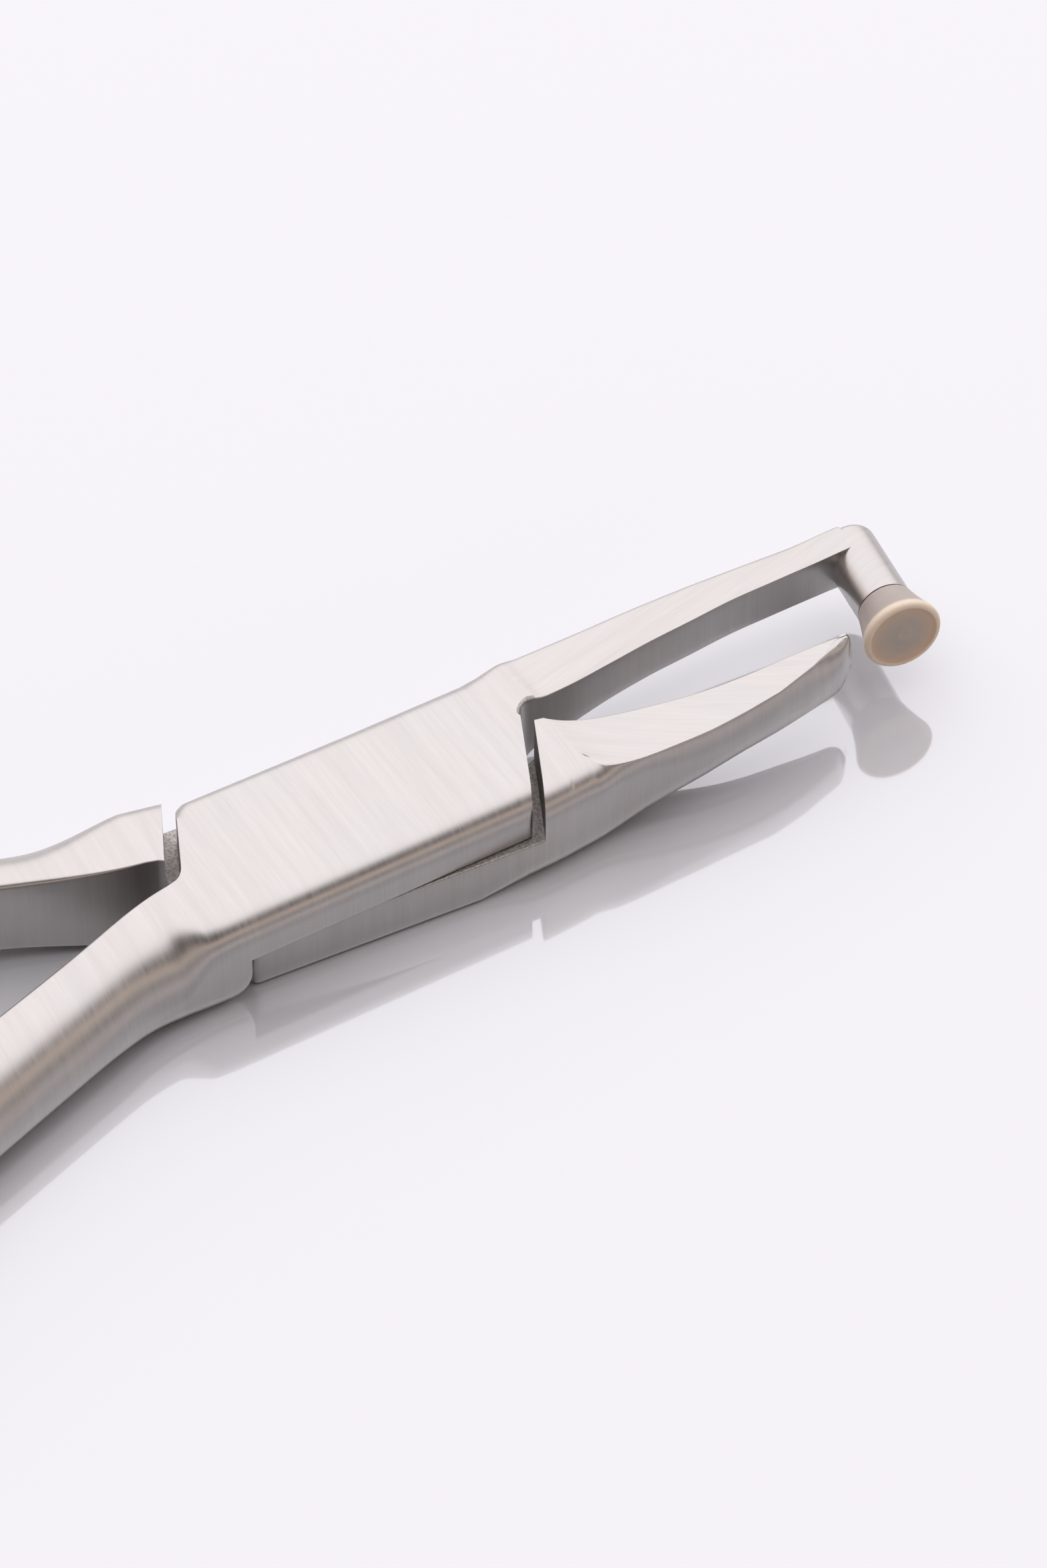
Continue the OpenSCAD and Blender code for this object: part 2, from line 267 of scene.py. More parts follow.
def subdivide(keys, step):
    """Rows between key rows, a straight mix of the two nearest, no further apart than step."""
    rows = []
    for a, b in zip(keys[:-1], keys[1:]):
        gap = max(np.hypot(*(b[:2] - a[:2])), np.hypot(*(b[2:4] - a[2:4])))
        count = max(1, int(np.ceil(gap / step)))
        rows.append(a + (b - a) * (np.arange(count) / count)[:, None])
    return np.vstack(rows + [keys[-1:]])


def columns(*values):
    """Rows of a half from an array or a number for each column."""
    return np.column_stack(np.broadcast_arrays(*values))


def handle_rows(handle, joint, edge, widen):
    """Rows of a handle from its end to its root, on the -Y side. The spine's heading turns from
    square to the flare over the bend, holds, and turns back along the grip; its points are the
    running sum of steps in that heading. The end is a superellipse, closed to a point."""
    total = handle.bend + handle.flare + handle.grip
    s = np.linspace(0, total, 1600)
    stops = [0, handle.bend, handle.bend + handle.flare, total]
    heading = np.interp(
        s, stops, [0, handle.flare_heading, handle.flare_heading, handle.end_heading])
    ds = s[1] - s[0]
    root = np.array([-(joint.plate_rear + 0.9), -(joint.wall_handle + handle.fork_out) / 2])
    mid = (heading[1:] + heading[:-1]) / 2
    steps = -np.column_stack([np.cos(mid), np.sin(mid)]) * ds
    spine = root + np.vstack([[0, 0], np.cumsum(steps, axis=0)])
    root_w = (joint.wall_handle - handle.fork_out) / 2
    grip_from = total - handle.grip * 2 / 3
    half = np.where(s < handle.bend, ease(s, 0, handle.bend, root_w, handle.width / 2),
                    ease(s, handle.bend, grip_from, handle.width, handle.grip_width) / 2)
    at = np.concatenate([np.full(16, total), np.linspace(total, 12, 110),
                         np.linspace(12, 1.5, 42)[1:]])
    t = np.zeros(len(at))
    t[:16] = np.linspace(pi / 2, 0, 16, endpoint=False)
    x, y, turn, w = (np.interp(at, s, v) for v in (*spine.T, heading, half))
    x, y = x - w * np.sin(t) * np.cos(turn), y - w * np.sin(t) * np.sin(turn)
    close = np.cos(t)
    close[0] = 0
    w = w * close
    flat = (1 - (1 - close ** 2) ** 1.5) ** 0.5
    root_x = root[0]
    thin_x = root_x - handle.bend - 3
    high = ease(x, root_x, thin_x, JOINT_T, JOINT_T - handle.sink)
    low = ease(x, root_x, thin_x, 0, JOINT_T - handle.sink - handle.thickness)
    middle = (high + low) / 2
    high, low = middle + (high - middle) * flat, middle + (low - middle) * flat
    side = np.column_stack([np.sin(turn), -np.cos(turn)]) * w[:, None]
    centre = np.column_stack([x, y])
    outer = ease(x, root_x - 1, root_x - 1 - widen, edge, handle.outer_round) * close
    under = ease(x, root_x - 1, root_x - 8, joint.heel_round, handle.under_round) * close
    inner = ease(x, root_x - 1, root_x - 8, SHARP, handle.inner_round) * close
    spread = ease(x, root_x - 1.5, root_x - 4 - widen, 1, handle.outer_spread)
    return np.column_stack([centre + side, centre - side, low, high, outer, under, inner, inner,
                            spread])


def slanted(ahead, tilt, y):
    """Point at this Y on a line tilted from square that passes ahead of the pivot, or behind it."""
    return (ahead + y * sin(tilt)) / cos(tilt), y


def sections(rows, crease, depth_scoop, depth_flat, begin=0):
    """Closed sections of a half, one per row, as an array of points. A section runs from the handle
    wall's foot up, over the top and down the jaw wall: quarter circles at its four edges, with
    their radii measured square to the walls, straight walls, and a top in two strips that meet at
    the crease, which is a distance in from the jaw wall. The strips lie a depth below the row's
    height. Where the crease cuts the rounded edge, that edge's circle stops there, and a smooth
    minimum of the circle and the first strip fills the crease. Rows with a begin angle start part
    of the way up the handle wall's rounding, which their wall cuts across."""
    h, j = rows[:, :2], rows[:, 2:4]
    low, high, r_ht, r_hb, r_jt, r_jb, spread = rows[:, 4:].T[..., None]
    width = np.linalg.norm(j - h, axis=1)
    across = (j - h) / np.maximum(width, 1e-9)[:, None]
    across[width < 1e-6] = across[np.argmax(width > 1e-6)]
    kh, kj, width, crease, begin = (
        np.reshape(v, (-1, 1)) for v in (skew(h, across), skew(j, across), width, crease, begin))
    kh = np.where(begin > 0, 1 / np.clip(np.abs(across[:, 1:]), 0.45, 1), kh)
    turn, inner = np.linspace(0, pi / 2, ARC), np.linspace(0, 1, WALL + 2)[1:-1]
    whole_ht = np.minimum(r_ht * kh * spread, 0.82 * width)
    in_jt = np.minimum(r_jt * kj, 0.9 * width)
    in_hb, in_jb = np.minimum(r_hb * kh, width / 2), np.minimum(r_jb * kj, width / 2)
    in_ht = whole_ht * np.cos(begin)
    crease = np.minimum(crease, width - in_ht)
    on_arc = crease < in_jt
    fillet = np.where(on_arc, np.minimum(FILLET, 0.5 * crease), 0)
    cut, start = (np.arccos(np.clip(1 - inset / np.maximum(in_jt, 1e-9), 0, 1))
                  for inset in (crease, crease - fillet))

    def corner(inset, radius, start=pi / 2, level=pi / 2):
        a = turn * start / (pi / 2)
        return inset * (1 - np.cos(a)), radius * (np.sin(level) - np.sin(a))

    def strip(d0, d1, n):
        return d0 + (d1 - d0) * (1 - np.cos(pi * np.linspace(0, 1, n + 2)[1:-1])) / 2

    def plan(d):
        return h[:, None] + across[:, None] * d[..., None]

    def depth_at(rule, d):
        return rule(*np.moveaxis(plan(d), -1, 0))

    def top(where, d):
        return high - np.where(where, depth_at(depth_scoop, d), depth_at(depth_flat, d))

    climb = begin + (pi / 2 - begin) * turn / (pi / 2)
    d_ht, z_ht = whole_ht * (np.cos(begin) - np.cos(climb)), r_ht * (1 - np.sin(climb))
    d_hb, z_hb = corner(in_hb, r_hb)
    d_jt, z_jt = corner(in_jt, r_jt, start, cut)
    d_jb, z_jb = corner(in_jb, r_jb)
    edge, seam = width - np.minimum(crease - fillet, in_jt), width - crease - fillet
    scoop_d, flat_d = strip(in_ht, seam, SCOOP), np.hstack([seam, strip(seam, edge, FLAT)])
    scooped = width - crease > in_ht + 1e-6
    top_h, top_scooped = top(scooped, in_ht), top(scooped, scoop_d)
    top_j = high - np.where(on_arc, depth_at(depth_scoop, width - crease),
                            depth_at(depth_flat, edge))
    scoop_z = high - depth_at(depth_scoop, flat_d)
    angle_at = np.arccos(np.clip(1 - (width - flat_d) / np.maximum(in_jt, 1e-9), -1, 1))
    arc_z = top_j - r_jt * (np.sin(cut) - np.sin(angle_at))
    blend = np.maximum(FILLET - np.abs(scoop_z - arc_z), 0) ** 2 / FILLET / 4
    flat_z = np.where(on_arc, np.minimum(scoop_z, arc_z) - blend,
                      high - depth_at(depth_flat, flat_d))
    foot_h, foot_j = low + r_hb, low + r_jb
    wall_h = foot_h + (top_h - z_ht[:, :1] - foot_h) * inner
    wall_j = foot_j + (top_j - r_jt * np.sin(cut) - foot_j) * inner
    distance = np.hstack([
        d_hb[:, ::-1], np.zeros_like(wall_h), d_ht, scoop_d, flat_d, width - d_jt[:, ::-1],
        np.repeat(width, WALL, 1), width - d_jb, strip(width - in_jb, in_hb, BOTTOM)])
    height = np.hstack([
        low + z_hb[:, ::-1], wall_h, top_h - z_ht, top_scooped, flat_z, top_j - z_jt[:, ::-1],
        wall_j[:, ::-1], low + z_jb, np.repeat(low, BOTTOM, 1)])
    return np.concatenate([plan(distance), height[..., None]], axis=2)


TOP_START = ARC + WALL  # first column of the rounded top edge
TOP_END = TOP_START + 2 * ARC + SCOOP + 1 + FLAT


def closed_mesh(name, points, slots, materials, flip=False):
    """One object from a grid of closed sections: quads between neighbouring rows and columns, the
    last column joined to the first, and points that coincide merged."""
    n, m = points.shape[:2]
    i, k = np.meshgrid(np.arange(n - 1), np.arange(m), indexing="ij")
    k2 = (k + 1) % m
    quads = np.stack([i * m + k, i * m + k2, (i + 1) * m + k2, (i + 1) * m + k], axis=-1)
    quads = quads.reshape(-1, 4)
    if flip:
        quads = quads[:, ::-1]
    mesh = bpy.data.meshes.new(name)
    mesh.from_pydata(points.reshape(-1, 3) * MM, [], quads)
    mesh.polygons.foreach_set("material_index", slots.reshape(-1).astype(np.int32))
    for material in materials:
        mesh.materials.append(material)
    bm = bmesh.new()
    bm.from_mesh(mesh)
    bmesh.ops.remove_doubles(bm, verts=bm.verts, dist=2e-7)
    bmesh.ops.dissolve_degenerate(bm, edges=bm.edges, dist=1e-7)
    open_ends = [e for e in bm.edges if e.is_boundary]
    if open_ends:
        bmesh.ops.holes_fill(bm, edges=open_ends, sides=0)
    bmesh.ops.recalc_face_normals(bm, faces=bm.faces)
    bm.to_mesh(mesh)
    bm.free()
    piece = bpy.data.objects.new(name, mesh)
    bpy.context.scene.collection.objects.link(piece)
    return piece


def revolved(profile, around=96):
    """A profile of (radius, height) pairs turned about Z: every point travels a full circle."""
    profile = np.asarray(profile, float)
    a = np.linspace(0, 2 * pi, around, endpoint=False)
    circle = np.column_stack([np.cos(a), np.sin(a), np.zeros(around)])
    return profile[:, None, :1] * circle + profile[:, None, 1:] * np.array([0, 0, 1])


def turned(points, turn):
    """Points in a half's own frame turned about the pivot axis."""
    c, s = cos(turn), sin(turn)
    return points @ np.array([[c, s, 0], [-s, c, 0], [0, 0, 1]])


def on_stud(points, arm, joint):
    """Points drawn about +Z carried to the stud: +Z becomes its axis, leaning back to the pivot."""
    mid_y = (arm.in_tip + arm.out_tip) / 2
    x, y, z = points[..., 0], points[..., 1], points[..., 2]
    c, r = cos(arm.stud_rise), sin(arm.stud_rise)
    flat = np.stack([x, -z * c + y * r, y * c + z * r], axis=-1)
    return turned(turned(flat, -arm.stud_lean) + [arm.reach, mid_y, STUD_Z], joint.rest_angle)


def combine(piece, other, how):
    """Applies an exact Boolean of piece with other, which is used up."""
    modifier = piece.modifiers.new("combine", "BOOLEAN")
    modifier.operation, modifier.solver, modifier.object = how, "EXACT", other
    modifier.material_mode = "TRANSFER"
    bpy.context.view_layer.update()
    graph = bpy.context.evaluated_depsgraph_get()
    mesh = bpy.data.meshes.new_from_object(piece.evaluated_get(graph))
    piece.modifiers.clear()
    old, piece.data = piece.data, mesh
    mesh.name = piece.name
    bpy.data.meshes.remove(old)
    bpy.data.objects.remove(other)


def bored(piece, profile, materials):
    """Cuts a hole of this profile about the pivot axis, with milled walls."""
    grid = revolved(profile)
    cutter = closed_mesh("bore", grid, np.full(grid.shape[:2], MILLED)[:-1], materials)
    combine(piece, cutter, "DIFFERENCE")


def placed(thing, axes, place):
    """Puts an object at a place, with its own axes along the columns of axes."""
    thing.matrix_world = Matrix([[*axes[k], place[k]] for k in range(3)] + [[0, 0, 0, 1]])


def crisp(piece, degrees=32):
    """Smooth shading, except across edges sharper than this."""
    piece.data.shade_smooth()
    piece.data.set_sharp_from_angle(angle=radians(degrees))


# -------- materials


class Nodes:
    """A material or world node tree with short calls for its nodes and links."""

    def __init__(self, owner):
        owner.use_nodes = True
        self.tree = owner.node_tree
        self.tree.nodes.clear()

    def add(self, kind, values=(), **settings):
        """A node with settings, and values or links for its inputs."""
        node = self.tree.nodes.new(kind)
        for key, value in settings.items():
            setattr(node, key, value)
        for key, value in dict(values).items():
            if isinstance(value, bpy.types.NodeSocket):
                self.tree.links.new(value, node.inputs[key])
            else:
                node.inputs[key].default_value = value
        return node

    def math(self, operation, a, b):
        return self.add("ShaderNodeMath", {0: a, 1: b}, operation=operation).outputs[0]

    def vector(self, operation, values, output="Vector"):
        return self.add("ShaderNodeVectorMath", values, operation=operation).outputs[output]

    def noise(self, place, grains, turn=0.0, detail=3, rough=0.6):
        """Noise with so many grains per millimetre along axes turned about Z."""
        values = {"Vector": place, "Rotation": (0, 0, turn), "Scale": [MM / g for g in grains]}
        place = self.add("ShaderNodeMapping", values, vector_type="TEXTURE").outputs[0]
        values = {"Vector": place, "Scale": 1, "Detail": detail, "Roughness": rough}
        return self.add("ShaderNodeTexNoise", values).outputs["Fac"]

    def mix(self, amount, a, b):
        """From colour a to colour b by an amount."""
        a, b = (c if isinstance(c, bpy.types.NodeSocket) else (*c, 1) for c in (a, b))
        values = {"Factor": amount, 6: a, 7: b}
        return self.add("ShaderNodeMix", values, data_type="RGBA").outputs[2]

    def spread(self, noise, low, high):
        """Noise, which keeps to its middle half, brought to low..high."""
        values = {"Value": noise, "From Min": 0.25, "From Max": 0.75, "To Min": low, "To Max": high}
        return self.add("ShaderNodeMapRange", values).outputs[0]

    def fade(self, value, start, end, low=0.0):
        """A smooth step from low to 1 as the value goes from start to end."""
        values = {"Value": value, "From Min": start, "From Max": end, "To Min": low}
        node = self.add("ShaderNodeMapRange", values, interpolation_type="SMOOTHSTEP")
        return node.outputs[0]

    def surface(self, values, relief, strength, depth):
        """Ends a material: a shader with these values, and a bump this many millimetres deep."""
        bump = self.add("ShaderNodeBump", {"Height": relief, "Strength": strength,
                                           "Distance": depth * MM})
        shader = self.add("ShaderNodeBsdfPrincipled", {**values, "Normal": bump.outputs[0]})
        self.add("ShaderNodeOutputMaterial", {"Surface": shader.outputs[0]})


def blank_material(name):
    """A new material, its nodes, and its Object coordinates."""
    material = bpy.data.materials.new(name)
    n = Nodes(material)
    return material, n, n.add("ShaderNodeTexCoord").outputs["Object"]


def brushed_steel(name, finish, brush_angle, fine=7.0):
    """Brushed steel: noise that is dense across the brushing and long along it gives fine lines,
    broader streaks and a slow cloud of warmth, with a grain of small pits."""
    material, n, place = blank_material(name)
    lines = n.noise(place, (fine, 0.22, 0.22), brush_angle, rough=0.62)
    streaks = n.noise(place, (1.6, 0.09, 0.09), brush_angle)
    cloud = n.noise(place, (0.16, 0.16, 0.16), rough=0.55)
    pits = n.noise(place, (7, 7, 7), detail=2)
    warm = n.mix(n.spread(cloud, 0.1, 0.9), finish.steel, finish.steel_warm)
    tone = n.math("ADD", n.spread(lines, 0.93, 1.03), n.spread(streaks, -0.04, 0.04))
    rough = n.math("ADD", n.spread(lines, -0.05, 0.05), n.spread(cloud, -0.03, 0.03))
    n.surface({"Base Color": n.vector("SCALE", {0: warm, "Scale": tone}), "Metallic": 1.0,
               "Roughness": n.math("ADD", rough, finish.steel_rough)},
              n.math("ADD", lines, n.math("MULTIPLY", pits, 0.5)), 0.5, 0.004)
    return material


def milled_steel(name, finish):
    """Rough milled steel: coarse bright and dark grains with a deep bump."""
    material, n, place = blank_material(name)
    grain = n.noise(place, (5, 5, 5), detail=4, rough=0.75)
    marks = n.noise(place, (9, 1.2, 1.2), detail=2)
    base = n.mix(n.spread(grain, 0.0, 1.0), finish.milled_dark, finish.milled_light)
    rough = n.math("ADD", n.spread(marks, -0.1, 0.1), finish.milled_rough)
    n.surface({"Base Color": base, "Metallic": 1.0, "Roughness": rough},
              n.math("ADD", grain, n.math("MULTIPLY", marks, 0.6)), 0.8, 0.05)
    return material


def turned_steel(name, finish):
    """Turned steel about the pivot axis: rings from noise that depends on the radius alone."""
    material, n, place = blank_material(name)
    flat = n.vector("MULTIPLY", {0: place, 1: (1, 1, 0)})
    radius = n.vector("LENGTH", {0: flat}, "Value")
    rings = n.noise(n.add("ShaderNodeCombineXYZ", {"X": radius}).outputs[0], (9, 1, 1))
    pits = n.noise(place, (4, 4, 4))
    base = n.mix(n.spread(rings, 0.0, 1.0), finish.rings, finish.steel)
    rough = n.math("ADD", n.spread(pits, -0.05, 0.05), finish.steel_rough)
    n.surface({"Base Color": base, "Metallic": 1.0, "Roughness": rough},
              n.math("ADD", rings, n.math("MULTIPLY", pits, 0.4)), 0.6, 0.02)
    return material


def pad_plastic(name, finish, face_centre, axis, pad):
    """Cream plastic whose colour follows the height along the pad's axis and the distance from its
    face's centre, with faint clouds and a fine moulded grain. The rim band is a lighter, warmer
    copy
    of the plastic than the cone: the step between them is painted light and shade."""
    material, n, place = blank_material(name)
    offset = n.vector("SUBTRACT", {0: place, 1: face_centre})
    along = n.vector("DOT_PRODUCT", {0: offset, 1: axis}, "Value")
    away = n.vector("LENGTH", {0: offset}, "Value")
    clouds = n.noise(place, (0.7, 0.7, 0.7))
    grain = n.noise(place, (9, 9, 9), detail=2)
    face = pad.face / 2
    # painted light and shade: the rim band gets the lit copy of the cream plastic, the cone the
    # shaded one
    painted_light_on_rim = n.fade(along, -(pad.band + 0.25) * MM, -(pad.band - 0.1) * MM)
    on_face = n.fade(away, (face + 0.04) * MM, (face - 0.05) * MM)
    to_middle = n.fade(away, face * MM, face * 0.45 * MM)
    tint = n.mix(on_face, n.mix(painted_light_on_rim, finish.cone, finish.rim),
                 n.mix(to_middle, finish.ring, finish.face))
    tint = n.vector("SCALE", {0: tint, "Scale": n.spread(clouds, 0.92, 1.06)})
    n.surface({"Base Color": tint, "Roughness": n.spread(clouds, 0.4, 0.52),
               "Subsurface Weight": 0.35, "Subsurface Radius": (1.0, 0.7, 0.45),
               "Subsurface Scale": 0.9 * MM, "IOR": 1.5},
              n.math("ADD", n.math("MULTIPLY", grain, 0.5), clouds), 0.35, 0.03)
    return material


# -------- pieces


def none_deep(px, py):
    """No depth anywhere."""
    return np.zeros_like(px)


def plate_keys(joint, jaw_wall, handle_wall, levels, edge, root, front):
    """Key rows of a half from the row at its handle's root to its front shoulder. The heel's lower
    end is a quarter circle. Then come the rows of the plate's outline, where the section's two
    levels change at a stroke. The cross lines lean at its corners, and its jaw-side edge is sharp
    along the slanted rear edge and round along the wall."""
    rear_lean, front_lean = 1.4, 3.8
    heel = slanted(-joint.plate_rear - joint.end_gap, -joint.shoulder_tilt, -handle_wall)[0]
    heel -= joint.heel_back
    heel_row = np.array([heel, -handle_wall, *slanted(-joint.plate_rear, joint.edge_tilt, -0.3)])
    rear_corner = slanted(-joint.plate_rear, joint.edge_tilt, jaw_wall)[0]
    front_corner = slanted(joint.plate_front, joint.edge_tilt, -handle_wall)[0]
    r, rows = joint.heel_end, []
    for t in (1, 0.75, 0.5, 0.3, 0.15, 0.05, 0):
        away = (root[:4] - heel_row) * t * r / (heel - root[0])
        rows.append([*(heel_row + away), r * (1 - (1 - (1 - t) ** 2) ** 0.5), JOINT_T,
                     edge, joint.heel_round, SHARP, SHARP, 1])
    (low, high), under, round_jt = levels, joint.plate_under, joint.jaw_edge
    top_cut, low_cut = high < JOINT_T, low > 0
    at_rear = np.array([rear_corner + rear_lean, -handle_wall, rear_corner, jaw_wall])
    at_front = np.array([front_corner, -handle_wall, front_corner - front_lean, jaw_wall])
    near_rear = heel_row * 0.25 + at_rear * 0.75
    near_front = at_front + 0.05 * (np.array(front[0][:4]) - at_front)
    plan = [(*heel_row, 0.1, 0.1), (*near_rear, 0.12, under), (*at_rear, 0.8 * round_jt, under),
            (4.0, -handle_wall, 1.5, jaw_wall, round_jt, under), (*at_front, round_jt, under),
            (*near_front, round_jt, under)] + front
    for k, (hx, hy, jx, jy, r_jt, r_jb) in enumerate(plan):
        r_hb = under if k < 5 else 0.3
        rows.append([hx, hy, jx, jy, low, high, SHARP if top_cut else edge,
                     SHARP if low_cut else r_hb, SHARP if top_cut else r_jt,
                     SHARP if low_cut else r_jb, 1])
    return rows


def build_arm_half(prefs):
    """The arm half without its stud, in its own frame: handle, upper plate and long arm, whose top
    steps down in front of the joint and rises again to the stud, and whose underside coves up."""
    joint, handle, arm = in_mm(prefs.joint), in_mm(prefs.handle), in_mm(prefs.arm)
    front, rear, slant = joint.plate_front, -joint.plate_rear, joint.edge_tilt
    handle_part = handle_rows(handle, joint, joint.arm_edge, 3)
    shoulder = (*slanted(front, slant, 0.6),
                *slanted(front + joint.end_gap, -joint.shoulder_tilt, joint.wall_arm))
    keys = plate_keys(joint, joint.wall_arm, joint.wall_handle,
                      (JOINT_T / 2 + joint.lap_gap / 2, JOINT_T), joint.arm_edge, handle_part[-1],
                      [(*shoulder, joint.jaw_edge, 0.5)])
    crotch, full = slanted(front, slant, arm.in_root), (0, JOINT_T)
    keys += [[*shoulder, *full, 0.2, 0.3, joint.jaw_edge, 0.5, 1],
             [*crotch, 10.9, joint.wall_arm, *full, 0.2, 0.3, 1.2, 0.5, 1],
             [12.6, arm.in_root, 12.2, joint.wall_arm, *full, 0.3, 0.3, 0.8, 0.4, 1],
             [13.3, arm.in_root, 13.2, joint.wall_arm, *full, 0.2, 0.3, 0.5, 0.4, 1]]
    middle = subdivide(np.array(keys, float), 0.2)
    end, tip_round = arm.reach - 0.3, 0.3
    x = np.concatenate([np.linspace(13.4, end - 3, 54), np.linspace(end - 3, end, 30)[1:]])
    past = np.maximum(x - end + tip_round, 0)
    off = tip_round - np.sqrt(np.maximum(tip_round ** 2 - past ** 2, 0))
    inner = through(x, [13, 14, 15.3, 18.5, 21.7, 24.9, 28.1, 31.2, 40], arm.in_tip + np.array(
        [-1.15, -1.15, -1.11, -0.8, -0.45, -0.22, 0.02, 0.06, 0.04]))
    outer = through(x, [13, 16, 18, 22.2, 26.7, 31, 34, 35.3, 36.3, 37.2, 40], arm.out_tip
                    + np.array([0.65, 0.6, 0.58, 0.6, 0.5, 0.27, 0.1, 0.05, 0.04, 0.04, 0.04]))
    jaw = columns(x, inner, x, outer - off, 0, JOINT_T, ease(x, 13.4, 15, 0.2, 0.08), 0.25,
                  ease(x, 33, 36.5, 0.45, 0.25), 0.3, 1)
    rows = np.vstack([handle_part, middle, jaw])
    nose = slanted(front, slant, -joint.wall_handle)
    soften_all(rows, 2, (slanted(rear, slant, -handle.fork_out), 0.9),
               (slanted(rear, slant, joint.wall_arm), 0.6))
    soften_all(rows, 0, (nose, 0.3), (crotch, 0.8))
    rise = STUD_Z + arm.stud / 2 - 0.03 - (JOINT_T - arm.drop)

    def top_depth(px, py):
        """The soft step down to the arm, less the rise to the stud's top."""
        return ease(px, 12.35, 13.9, 0, arm.drop) - ease(px, end - 4, end, 0, rise)

    lapped = rows[:, 4] > 1
    inset = np.clip((rows[:, 1] + joint.wall_handle) / joint.arm_edge, 0, 1)
    begin = np.where((rows[:, 0] > nose[0] - 0.2) & lapped, np.arccos(1 - inset), 0)
    whole_width = np.linalg.norm(rows[:, 2:4] - rows[:, :2], axis=1)
    points = sections(rows, whole_width, none_deep, top_depth, begin)
    first = int(np.flatnonzero(lapped)[-1]) + 1
    px, top = points[first:, :, 0], points[first:, :, 2].max(axis=1, keepdims=True)
    under = through(px, [8, 10.9, 11.6, 12.5, 13.5, 14.5, 16.5, 18.5, 21.5, 25, 40],
                    [0, 0.02, 0.8, 1.9, 2.42, 2.7, 3.05, 3.3, 3.42, 3.44, 3.44])
    under = np.maximum(under, 0) - ease(px, end - 2, end, 0, 0.12)
    points[first:, :, 2] += under * (1 - points[first:, :, 2] / top)
    slots = np.full((len(points) - 1, points.shape[1]), ACROSS)
    mid_x, edge_x = points[:-1, TOP_START + ARC, 0], points[:-1, TOP_START, 0]
    slots[mid_x > 12.6, TOP_START:TOP_END] = ALONG
    chamfer = (edge_x > 11.2) & (edge_x < 13) & (mid_x > 11)
    slots[chamfer, TOP_START:TOP_START + ARC - 1] = MILLED
    lap_rows = (lapped[:-1] | lapped[1:]) & (rows[:-1, 0] > -14)
    slots[lap_rows, TOP_END + WALL:] = MILLED
    slots[lap_rows, :ARC - 2] = MILLED
    return points, slots


def stud_profile(arm):
    """Outline of the stud about its axis: a low dome buried in the arm's end, a straight shank, a
    groove at the pad, and the spigot with its bead; also the number of the groove's first point."""
    r, out, groove, bead_r = arm.stud / 2, (arm.out_tip - arm.in_tip) / 2, 0.1, 0.15
    a = np.linspace(0, pi / 2, 18)
    dome = np.column_stack([r - arm.corner + arm.corner * np.sin(a),
                            arm.corner - out - arm.corner * np.cos(a)])
    dome = np.vstack([[0, dome[0, 1]], dome])
    seam, s, bead = arm.stud_length, arm.spigot / 2, arm.stud_length + 0.6 * arm.spigot_length
    shank = [(r, z) for z in np.linspace(0.6, seam - 0.11, 9)]
    tail = [(r - 0.03, seam - groove), (r - 0.25, seam - groove), (r - 0.25, seam), (s, seam),
            (s, bead - 0.3), (s + bead_r, bead), (s, bead + 0.3),
            (s, seam + arm.spigot_length), (0, seam + arm.spigot_length)]
    return np.vstack([dome, shank, tail]), len(dome) + len(shank)


def pad_profile(arm, pad):
    """Outline of the pad about its axis: the bore for the spigot, a cone that flares as a mix of a
    straight line and a power of the height, a rounded rim band, and a dished face with the mark of
    its sprue."""
    s, neck, rim, top, face = arm.spigot / 2, pad.neck / 2, pad.rim / 2, pad.height, pad.face / 2
    bore = [(0, arm.spigot_length), (s, arm.spigot_length), (s, 0), (neck - 0.04, 0)]
    t, foot, step = np.linspace(0, 1, 14), 0.04, 0.07
    cone = np.column_stack([neck + (rim - step - neck) * (0.72 * t + 0.28 * t ** 2.2),
                            foot + (top - pad.band - 0.05 - foot) * t])
    a, r = np.linspace(-0.35, pi / 2, 12), 0.3
    band = np.column_stack([rim - r + r * np.cos(a), top - r + r * np.sin(a)])
    floor = top - pad.dish
    dish = [(face + 0.02, top - 0.005), (face - 0.05, top - 0.05), (face - 0.12, floor + 0.01),
            (face - 0.3, floor), (1.2, floor - 0.02)]
    sprue = [(0.46, floor - 0.02), (0.4, floor + 0.015), (0.3, floor + 0.02),
             (0.2, floor - 0.01), (0, floor - 0.015)]
    return np.vstack([bore, cone, band, dish, sprue])


